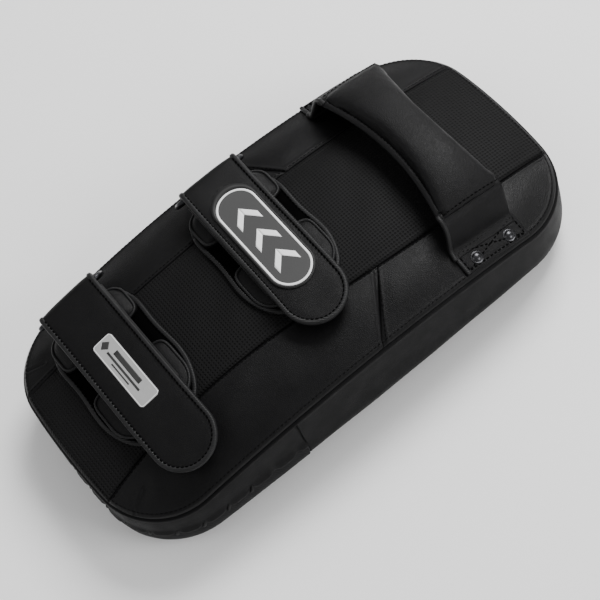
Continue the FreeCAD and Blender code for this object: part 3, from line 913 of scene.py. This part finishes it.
def strap(name):
    """The strap's moving layer, folded round the ring's bar, with its binding and stitches."""
    facts = CUFFS[name]
    bar = at_bar(facts["x"])
    body = name + "_strap_body"
    grid, normal, edge, edge_n = sheet_along(strap_path(facts), SHEET_HALF, SHEET_HALF, 120, 33)
    rim = (1 - np.abs(np.linspace(-1, 1, 33)[None, :])) * STRAP_HALF
    crown_up = 0.75 * (1 - notch(rim, 7)) - 0.1 + 0.22 * waves(grid[..., 0] * 1.4, grid[..., 1] * 1.1,
                                                               facts["x"])
    outer = grid + normal[:, None, :] * (STRAP_T / 2 - 0.35 + crown_up)[..., None]
    obj = plate(name + "_strap_visual", moved(bar, outer), STRAP_T - 0.4, STRAP, turned(bar, (0, 0, 1)))
    place(obj, body, "strap_leather", name + "_strap_upper_layer", fill=0.35)
    p, n = inset_path(edge, edge_n, 1.5, 420)
    tape = sweep(name + "_strap_binding_visual", moved(bar, p), turned(bar, n),
                 rounded_section(2.0, STRAP_T / 2 + 0.75, 2.6, 18), BINDING_WITH_HIGHLIGHT)
    place(tape, body, "binding", name + "_strap_binding")
    p, n = inset_path(edge, edge_n, 3.0, 420)
    p, n = p[14:-14], n[14:-14]
    place(stitches(name + "_strap_stitches", [(moved(bar, p + n * 1.95), turned(bar, n))], 3.2, 2.5, 0.5),
          body, "binding")


def lower_layer(name):
    facts = CUFFS[name]
    bar = at_bar(facts["x"])
    root = facts["near"] + 10 - BAR_Y
    path = resample([(-5.7, -3.65), (root, -3.65)], 60)
    grid, normal, edge, edge_n = sheet_along(path, SHEET_HALF, 12.0, 60, 25)
    obj = plate(name + "_strap_lower_visual", moved(bar, grid + normal[:, None, :] * 1.2), 2.4, STRAP,
                turned(bar, (0, 0, 1)))
    place(obj, "pad", "strap_leather", name + "_strap_lower_layer")
    p, n = inset_path(edge, edge_n, 1.5, 260)
    tape = sweep(name + "_lower_binding", moved(bar, p), turned(bar, n), rounded_section(2.1, 1.5, 3.2,
                                                                                         16), BINDING_WITH_HIGHLIGHT)
    place(tape, "pad", "binding")


# ---------------------------------------------------------------- the cuffs
def cuff_outline(facts, inset):
    """The base's outline in plan: two lobes, drawn in at the gap between the blocks."""
    near, power = facts["near"], 3.4
    mid, half = (near + BASE_FAR) / 2, (BASE_FAR - near) / 2
    phi = full_turn(2000)
    c = np.cos(phi)
    x = BASE_HALF * squarish(c, power)
    y = mid + half * squarish(np.sin(phi), power)
    lobes = 1.4 - 1.0 * np.cos(2 * math.pi * (y - 21) / 66)
    x += np.sign(c) * np.minimum(np.abs(c) * 2, 1) * lobes * np.clip((half - np.abs(y - mid)) / 12, 0, 1)
    p = evenly_round(np.stack([x + facts["shift"], y], -1), 240)
    t = unit(np.roll(p, -1, 0) - np.roll(p, 1, 0))
    return p + np.stack([-t[:, 1], t[:, 0]], -1) * inset


def cuff_place(facts, p, lift):
    """Points over the arm side at the cuff frame's plan points p."""
    return on_skin(facts["x"] + p[:, 0], p[:, 1], lift)


def cuff_base(name):
    facts = CUFFS[name]
    rim = cuff_outline(facts, 1.0)
    core = np.stack([np.full(len(rim), facts["shift"]),
                     np.clip(rim[:, 1], facts["near"] + 34, BASE_FAR - 34)], -1)
    rings = [cuff_place(facts, core + (rim - core) * f, lift)
             for f, lift in [(0.04, -0.8), (0.6, -0.8), (1.0, -0.8), (1.01, 0.8), (1.0, 1.9)]]
    for f in np.linspace(0.985, 0.04, 26):
        p = core + (rim - core) * f
        rise = 2.2 + 1.3 * min((1 - f) * 5, 1) ** 0.6
        rings.append(cuff_place(facts, p, rise + 0.25 * waves(p[:, 0] * 2, p[:, 1] * 2, facts["x"])))
    place(tube(name + "_cuff_base_visual", rings, CUFF_SHADE_BLACK), "pad", "cuff_leather", name + "_cuff_base", fill=0.6)
    p = cuff_outline(facts, 1.6)
    normals = top_normal(facts["x"] + p[:, 0], p[:, 1])
    tape = sweep(name + "_cuff_binding_visual", cuff_place(facts, p, 1.7), normals,
                 rounded_section(1.9, 2.1, 3.0, 18), BINDING_WITH_HIGHLIGHT, closed=True)
    place(tape, "pad", "binding", name + "_cuff_binding")
    path = cuff_place(facts, cuff_outline(facts, 3.0), 3.5)
    run = np.concatenate([path, path[:1]]), np.concatenate([normals, normals[:1]])
    place(stitches(name + "_cuff_stitches", [run]), "pad", "binding")


def block_rings(facts, far):
    """Rings over one of the cuff's two padded blocks, in the cuff's frame."""
    y0, y1 = (36.0, 69.0) if far else (facts["near"] + 7, 7.0)
    half_y, mid = (y1 - y0) / 2 + 0.8, (y0 + y1) / 2
    a = full_turn(96)
    c, s = np.cos(a), np.sin(a)
    power = np.where(s < 0 if far else s > 0, 7.0, 2.6)
    stops = [(0.05, 0), (0.6, 0), (0.96, 0.0), (0.995, 0.12), (1.0, 0.3), (0.985, 0.46), (0.955, 0.58),
             (0.9, 0.72), (0.82, 0.86), (0.72, 0.96), (0.6, 1.0), (0.35, 1.0), (0.05, 1.0)]
    rings = []
    for f, t in stops:
        x = BLOCK_HALF * f * squarish(c, power)
        y = mid + half_y * f * squarish(s, power)
        under_strap = BAR_Z - 5.0 + math.tan(SLOPE) * (y - BAR_Y) - 0.5
        rings.append(np.stack([x + facts["shift"], y, (2.0 - fall(y)) * (1 - t) + under_strap * t], -1))
    return np.array(rings)


def stuffed(obj, pressure, cap, voxel):
    """Fills a closed fabric shape: it swells, creases and settles, and no point moves more than cap."""
    select_only(obj)
    apply_modifier(obj, "REMESH", mode="VOXEL", voxel_size=voxel * MM)
    start = np.array([v.co for v in obj.data.vertices])
    cloth = obj.modifiers.new("stuffing", "CLOTH")
    settings = dict(use_pressure=True, uniform_pressure_force=pressure, tension_stiffness=25,
                    compression_stiffness=12, shear_stiffness=12, bending_stiffness=0.8, quality=6)
    for key, value in settings.items():
        setattr(cloth.settings, key, value)
    cloth.settings.effector_weights.gravity = 0
    scene = bpy.context.scene
    for number in range(1, 19):
        scene.frame_set(number)
        bpy.context.view_layer.update()
    settled = obj.evaluated_get(bpy.context.evaluated_depsgraph_get())
    after = np.array([v.co for v in settled.data.vertices])
    obj.modifiers.remove(cloth)
    scene.frame_set(1)
    step = after - start
    size = np.linalg.norm(step, axis=1, keepdims=True)
    step *= np.minimum(1, cap * MM / np.maximum(size, 1e-9))
    obj.data.vertices.foreach_set("co", (start + step).ravel())
    apply_modifier(obj, "SUBSURF", levels=1, render_levels=1)
    obj.data.shade_smooth()


def cuff_blocks(name):
    facts = CUFFS[name]
    cuff = at_cuff(facts["x"])
    for side in ("far", "near"):
        rings = block_rings(facts, side == "far")
        obj = tube(f"{name}_block_{side}_visual", moved(cuff, rings), STRAP)
        place(obj, "pad", "cuff_leather", f"{name}_cuff_block_{side}", fill=0.75)
        path = rings[6]
        plan = path[:, :2] - path[:, :2].mean(0)
        path[:, :2] += 0.4 * plan / np.linalg.norm(plan, axis=1, keepdims=True)
        path = evenly_round(path, 180)
        away = path - path.mean(0)
        away[:, 2] = 20.0
        piping = sweep(f"{name}_block_{side}_piping", moved(cuff, path), turned(cuff, away),
                       rounded_section(1.15, 1.15, 2.0, 12), BINDING_WITH_HIGHLIGHT, closed=True)
        place(piping, "pad", "binding")


def ring(name):
    cuff = at_cuff(CUFFS[name]["x"])
    a, b = np.array([BAR_Y, BAR_Z]), np.array([KEEPER_Y, KEEPER_Z])
    drop = float(np.linalg.norm(b - a))
    flat = evenly_round(rounded_box(-RING_HALF, RING_HALF, 0, drop, RING_CORNER, 10), 160)
    along = (b - a) / drop
    path = np.column_stack([flat[:, 0], a[0] + along[0] * flat[:, 1], a[1] + along[1] * flat[:, 1]])
    normals = np.tile([0, -along[1], along[0]], (len(path), 1))
    obj = sweep(name + "_ring_visual", moved(cuff, path), turned(cuff, normals), rounded_section(WIRE,
                                                                                                 WIRE, 2.0, 16),
                WIRE_METAL, closed=True)
    place(obj, name + "_ring_body", "ring_wire", name + "_ring")


def keeper(name):
    """The leather loop that holds the ring to the pad."""
    cuff = at_cuff(CUFFS[name]["x"])
    lead = [(y, 1.9 - fall(y)) for y in np.linspace(73.5, 79, 5)]
    a = np.radians(np.linspace(125, -165, 26))
    loop = [(KEEPER_Y + KEEPER_R * math.cos(t), KEEPER_Z + KEEPER_R * math.sin(t)) for t in a]
    path = catmull(lead + loop, 90)
    grid = np.array([[(u, y, z) for u in np.linspace(-KEEPER_HALF, KEEPER_HALF, 21)] for y, z in path])
    obj = plate(name + "_ring_keeper_visual", moved(cuff, grid), 1.7, STRAP, turned(cuff, (0, 0.4, 1)))
    place(obj, "pad", "strap_leather", name + "_ring_keeper")
    runs = []
    for u in (2 - KEEPER_HALF, KEEPER_HALF - 2):
        line = np.array([(u, y, 2.0 - fall(y)) for y in np.linspace(74, 79, 8)])
        runs.append((moved(cuff, line), turned(cuff, np.tile([0, 0.2, 1.0], (8, 1)))))
    place(stitches(name + "_keeper_stitches", runs), "pad", "strap_leather")


# ---------------------------------------------------------------- badge and label
def flat_shape(name, facts, points, lift, thick, material):
    """A thin closed shape on the strap, from its convex outline in the strap's plan."""
    p = evenly_round(points, max(int(length_of(points) / 2.0), 12))
    centre = p.mean(0)
    rings = []
    rims = [(0.02, 0.0), (1.0, 0.0), (1.0, thick * 0.6), (0.995, thick * 0.9)]
    for f, h in rims + [(f, thick) for f in np.linspace(0.97, 0.02, 9)]:
        q = centre + (p - centre) * f
        rings.append(on_strap(facts, q[:, 0], q[:, 1], lift + h))
    return tube(name, rings, material)


def strip_on_strap(name, facts, outer, inner, lift, thick, material):
    """A flat band between two outlines with the same number of points."""
    rings = [on_strap(facts, q[:, 0], q[:, 1], lift + h)
             for q, h in ((outer, 0.0), (outer, thick), (inner, thick), (inner, 0.0))]
    return tube(name, rings, material, closed=True)


def badge():
    """A moulded badge with a black margin, a printed rim and three chevrons."""
    facts, body = CUFFS["upper"], "upper_strap_body"
    up = STRAP_T + 0.15
    field = flat_shape("upper_badge_visual", facts, rounded_box(-17.5, 17.5, -114, -14, 17.4), up, 1.3, BADGE)
    place(field, body, "badge_rubber", "upper_badge")
    lift = up + 1.25
    edge = rounded_box(-17.3, 17.3, -113.8, -14.2, 17.2, 30)
    rim = rounded_box(-15.7, 15.7, -112.4, -19.6, 15.6, 30)
    field_edge = rounded_box(-14.1, 14.1, -110.8, -21.2, 14.0, 30)
    marks = [strip_on_strap("badge_edge", facts, edge, rim, lift, 0.30, BADGE_EDGE),
             strip_on_strap("badge_ring", facts, rim, field_edge, lift, 0.35, INK)]
    for k in range(3):
        c = -87.5 + 22 * k
        for sign in (1, -1):
            corners = [(0, c + 7.6), (sign * 9, c - 3.2), (sign * 9, c - 10.0), (0, c + 0.8)]
            marks.append(strip_solid(f"mark_{k}_{sign}", facts, corners, lift, 0.35, INK))
    place(join(marks, "badge_print"), body, "badge_rubber")


def strip_solid(name, facts, corners, lift, thick, material):
    """A four-cornered flat mark."""
    a, b, c, d = (np.array(q, float) for q in corners)
    cuts = np.linspace(0, 1, 7)
    grid = []
    for t in cuts:
        e, f = a + (b - a) * t, d + (c - d) * t
        grid.append([e + (f - e) * u for u in cuts])
    grid = np.array(grid)
    return plate(name, on_strap(facts, grid[..., 0], grid[..., 1], lift + thick), thick, material)


def label():
    facts, body = CUFFS["lower"], "lower_strap_body"
    up = STRAP_T + 0.15
    field = flat_shape("lower_label_visual", facts, rounded_box(-8.5, 8.5, -105, -43, 2.5), up, 0.55, LABEL)
    place(field, body, "label_fabric", "lower_label")
    lift = up + 0.5
    marks = [strip_on_strap("label_edge", facts, rounded_box(-8.0, 8.0, -104.5, -43.5, 2.1),
                            rounded_box(-7.5, 7.5, -104.0, -44.0, 1.7), lift, 0.2, LABEL_INK)]
    for x, y0, y1, w in ((2.6, -89, -58, 1.9), (-1.8, -93, -54, 0.8), (-4.6, -84, -63, 0.5)):
        marks.append(strip_solid(f"label_bar_{y0}", facts, [(x - w, y0), (x + w, y0), (x + w, y1), (x - w,
                                                                                                    y1)],
                                 lift, 0.2, LABEL_MARK))
    marks.append(strip_solid("label_diamond", facts, [(0, -52.5), (4.0, -48.8), (0, -45.2), (-4.0,
                                                                                             -48.8)], lift, 0.2,
                             LABEL_MARK))
    place(join(marks, "label_print"), body, "label_fabric")


# ---------------------------------------------------------------- the handle
GRIP_HALF, GRIP_RISE, SAGITTA = 69.0, 24.0, 8.0
GRIP = at_cuff(GRIP_X)


def grip_half(part):
    return (38.5 + 15.5 * np.abs(part) ** 2.0) / 2


def grip_shift(part):
    return 0.5 + 1.8 * (1 - part**2)


def grip_mid(y):
    """The grip arches, less towards the far end."""
    return GRIP_RISE - np.where(y < 0, SAGITTA, 4.0) * (np.abs(y) / 70) ** 2


def grip_ring(part, inset, count=64):
    """One cross section of the grip; part runs from -1 at the near end to 1 at the far end."""
    a = full_turn(count)
    c, s = np.cos(a), np.sin(a)
    thick = 2.6 + 6.0 * (1 - min(abs(part) / 0.955, 1) ** 3.2) ** 0.75 - inset
    half = float(grip_half(part)) + 0.4 - inset
    z = np.where(s > 0, 1.08, 0.8) * thick * squarish(s, 2.3)
    y = part * (GRIP_HALF - inset) + (2.5 * part if part > 0 else 0)
    x = half * squarish(c, 2.2) + grip_shift(part)
    return np.stack([x, np.full(count, y), grip_mid(y) + z], -1)


def grip_shape(name, inset, material):
    parts = np.sin(np.linspace(-math.pi / 2, math.pi / 2, 60))
    return tube(name, moved(GRIP, [grip_ring(p, inset) for p in parts]), material)


def handle():
    place(grip_shape("handle_core_visual", 2.6, FOAM), "grip", "handle_foam", "handle_core", fill=0.9)
    sleeve = grip_shape("handle_sleeve_visual", 0.3, STRAP)
    stuffed(sleeve, 3.0, 1.6, 2.6)
    place(sleeve, "grip", "strap_leather", "handle_sleeve", fill=0.85)

    y = np.linspace(-68.0, 70.5, 120)
    path = np.stack([grip_shift(y / 70) - grip_half(y / 70) + 0.2, y, grip_mid(y) - 0.8], -1)
    up = np.tile([-0.35, 0, 1.0], (len(y), 1))
    edge = sweep("handle_edge_binding", moved(GRIP, path), turned(GRIP, up), rounded_section(2.6, 1.3,
                                                                                             2.8, 16), STRAP)
    place(edge, "grip", "strap_leather")
    rows = [(moved(GRIP, path + np.array([1.2, 0, 1.35])), turned(GRIP, up))]
    for sign, at in ((-1, -66.5), (1, 69.5)):
        x = np.linspace(-24.0, 24.5, 30)
        line = np.stack([x, np.full(30, at), np.full(30, grip_mid(at)) + 4.5 - 1.4 * (x / 24) ** 2], -1)
        rows.append((moved(GRIP, line), turned(GRIP, np.tile([0, sign * 0.7, 1.0], (30, 1)))))
    place(stitches("handle_stitches", rows), "grip", "strap_leather")
    for side, sign in (("near", -1), ("far", 1)):
        end_strap(side, sign)
        tab(side, sign)
        rivets(side, sign)


def ground(x, y):
    """Height of the finished arm side at x and y of the handle's frame, in that frame."""
    p = with_skin(np.asarray(x, float) + GRIP_X, np.asarray(y, float))
    return ((p - GRIP[:3, 3]) @ GRIP[:3, :3])[..., 2]


def end_strap(side, sign):
    """The leather between the grip's sewn end and the tab."""
    if sign < 0:
        line = [(63.5, 18.2), (68, 17.0), (72.5, 13.0), (76.5, 4.5), (79.5, -3.2), (82.0, -4.8), (86, -6.2)]
    else:
        line = [(65.5, 21.5), (70.5, 20.4), (75.5, 16.5), (79.0, 6.5), (81.5, -3.4), (83.5, -5.2), (86, -6.2)]
    path = catmull(line, 46)
    u = np.linspace(-1, 1, 35)
    grid = np.zeros((len(path), len(u), 3))
    for i, (y, z) in enumerate(path):
        t = i / (len(path) - 1)
        half = 26.0 - 0.8 * math.sin(math.pi * t)
        sag = 0.7 * math.sin(math.pi * t) * (1 - u**2)
        grid[i, :, 0] = TAB_SHIFT * t + half * u
        grid[i, :, 1] = sign * (y + sag + 0.4 * waves(u * 30, i * 2.0, sign))
        grid[i, :, 2] = z + 0.3 * waves(u * 24, i * 3.0, 2 + sign)
    last = grid[-10:, :, :]
    landed = ground(last[..., 0], last[..., 1]) + 3.0
    weight = np.linspace(0, 1, 10)[:, None] ** 0.7
    grid[-10:, :, 2] = last[..., 2] * (1 - weight) + landed * weight
    obj = plate(f"handle_strap_{side}_visual", moved(GRIP, grid), 2.4, STRAP, turned(GRIP, (0, sign * 0.6,
                                                                                            1)))
    start = moved(GRIP, [0.0, sign * 83.0, -4.0])
    end = moved(GRIP, [0.0, sign * 69.0, 16.5])
    normal = grid_normals(grid)[:, 0]
    normal = normal * (1 if normal[:, 2].sum() > 0 else -1)
    tape = sweep(f"handle_strap_{side}_binding", moved(GRIP, grid[:, 0] - normal * 1.1), turned(GRIP, normal),
                 rounded_section(1.7, 1.9, 2.6, 14), BINDING_WITH_HIGHLIGHT)
    crossing(tape, "pad", "grip", start, end, "strap_leather")
    crossing(obj, "pad", "grip", start, end, "strap_leather", f"handle_strap_{side}")


def tab(side, sign):
    """The sewn and riveted end of the handle, with a box and cross of stitches."""
    low, high, outer = TAB_SHIFT - TAB_HALF, TAB_SHIFT + TAB_HALF, 97.2
    x, y = np.meshgrid(np.linspace(low, high, 53), np.linspace(78.5, outer, 26), indexing="ij")
    rim = np.minimum(np.minimum(x - low, high - x), outer - y)
    lift = 2.5 - 0.5 * notch(rim, 1.0) - 0.35 * notch(rim - 2.2, 0.7)
    for cx in (TAB_SHIFT - RIVET_STEP, TAB_SHIFT + RIVET_STEP):
        lift -= 0.35 * np.exp(-(((x - cx) ** 2 + (y - RIVET_Y) ** 2) / 30))
    obj = plate(f"handle_tab_{side}_visual", on_skin(x + GRIP_X, sign * y, lift), 2.2, STRAP)
    place(obj, "pad", "strap_leather", f"handle_tab_{side}")

    def run(q, height):
        at = q[:, 0] + GRIP_X, sign * q[:, 1]
        return on_skin(*at, height), top_normal(*at)

    x0, x1, y0, y1 = TAB_SHIFT - 23.8, TAB_SHIFT + 23.8, 81.5, 95.2
    lines = [run(np.linspace(a, b, 30), 2.35 if a[1] != b[1] else 2.3)
             for a, b in (((x0, y0), (x0, y1)), ((x0, y1), (x1, y1)), ((x1, y1), (x1, y0)), ((x1, y0),
                                                                                             (x0, y0)),
                          ((x0, y0), (x1, y1)), ((x0, y1), (x1, y0)))]
    edge = run(np.column_stack([np.full(30, TAB_SHIFT - 25.6), np.linspace(80, 97.0, 30)]), 1.4)
    tape = sweep(f"tab_{side}_binding", *edge, rounded_section(1.6, 1.6, 2.6, 14), BINDING_WITH_HIGHLIGHT)
    place(tape, "pad", "strap_leather")
    place(stitches(f"tab_stitches_{side}", lines, 3.4, 2.5, 0.55), "pad", "strap_leather")


def rivets(side, sign):
    profile = [(4.7, -0.5), (4.7, 0.15), (4.4, 0.45), (3.9, 0.5), (3.75, 0.35), (3.5, 0.8), (2.9, 1.35),
               (1.9, 1.8),
               (0.8, 2.0), (0.05, 2.02)]
    a = full_turn(40)[:, None]
    made = []
    for step in (-1, 1):
        x, y = np.array(GRIP_X + TAB_SHIFT + step * RIVET_STEP), np.array(sign * RIVET_Y)
        axis = top_normal(x, y)
        base = on_skin(x, y, 2.2)
        side_a = unit(np.cross(axis, (1.0, 0, 0)))
        side_b = np.cross(axis, side_a)
        rings = [base + axis * h + r * (np.cos(a) * side_a + np.sin(a) * side_b) for r, h in profile]
        made.append(tube(f"rivet_{side}_{step}", rings, RIVET))
    place(join(made, f"rivets_{side}_visual"), "pad", "rivet_metal", f"rivets_{side}")


# ---------------------------------------------------------------- the whole object
centre_panel()
for near in (True, False):
    for head in (True, False):
        side_panel(near, head)
gusset_main()
gusset_foot()
seam_rows()
strike_cover()
closing_strip()
closing_stitches()
for cuff_name in CUFFS:
    cuff_base(cuff_name)
    cuff_blocks(cuff_name)
    lower_layer(cuff_name)
    strap(cuff_name)
    ring(cuff_name)
    keeper(cuff_name)
badge()
label()
handle()

CAD_MATERIALS = {"foam": FOAM, "patch": HOOK, "rivet": RIVET}
for node_name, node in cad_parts.items():
    for word, material in CAD_MATERIALS.items():
        if word in node_name:
            for slot in node.material_slots:
                slot.material = material


# ---------------------------------------------------------------- floor, light and camera
def floor():
    bpy.ops.mesh.primitive_plane_add(size=12.0, location=(0, 0, -0.0006))
    obj = bpy.context.active_object
    obj.name = "floor"
    n = Nodes("floor")
    obj.data.materials.append(n.done((0.97, 0.97, 0.97), 0.85))


def area_light(name, where, size, power, aim=(0, 0, 0.04)):
    lamp = bpy.data.lights.new(name, "AREA")
    lamp.shape = "RECTANGLE"
    lamp.size, lamp.size_y = size
    lamp.energy = power
    obj = bpy.data.objects.new(name, lamp)
    obj.location = where
    obj.rotation_euler = (Vector(aim) - Vector(where)).to_track_quat("-Z", "Y").to_euler()
    bpy.context.scene.collection.objects.link(obj)


def camera():
    az, el, tilt = (math.radians(v) for v in (-14.1, 58.06, 26.47))
    distance, target = 1.297, Vector((0, 0, 0.050))
    back = Vector((math.sin(az) * math.cos(el), -math.cos(az) * math.cos(el), math.sin(el)))
    right = Vector((math.cos(az), math.sin(az), 0))
    up = back.cross(right)
    x = right * math.cos(tilt) - up * math.sin(tilt)
    y = right * math.sin(tilt) + up * math.cos(tilt)
    data = bpy.data.cameras.new("camera")
    data.sensor_width = 36.0
    data.lens = 109.44
    data.shift_x, data.shift_y = 0.0195, -0.0332
    obj = bpy.data.objects.new("camera", data)
    turn = Matrix((x, y, back)).transposed()
    obj.matrix_world = Matrix.Translation(target + back * distance) @ turn.to_4x4()
    bpy.context.scene.collection.objects.link(obj)
    bpy.context.scene.camera = obj


floor()
area_light("key", (1.1, 0.55, 1.55), (0.9, 0.9), 46.0)
area_light("front", (0.8, -1.3, 1.1), (0.8, 0.8), 16.0)
area_light("left", (-1.4, 0.3, 1.4), (0.8, 1.2), 5.0)
world = bpy.data.worlds.new("studio")
world.use_nodes = True
world.node_tree.nodes["Background"].inputs[0].default_value = (1, 1, 1, 1)
world.node_tree.nodes["Background"].inputs[1].default_value = 0.52
bpy.context.scene.world = world
camera()

bpy.context.view_layer.update()
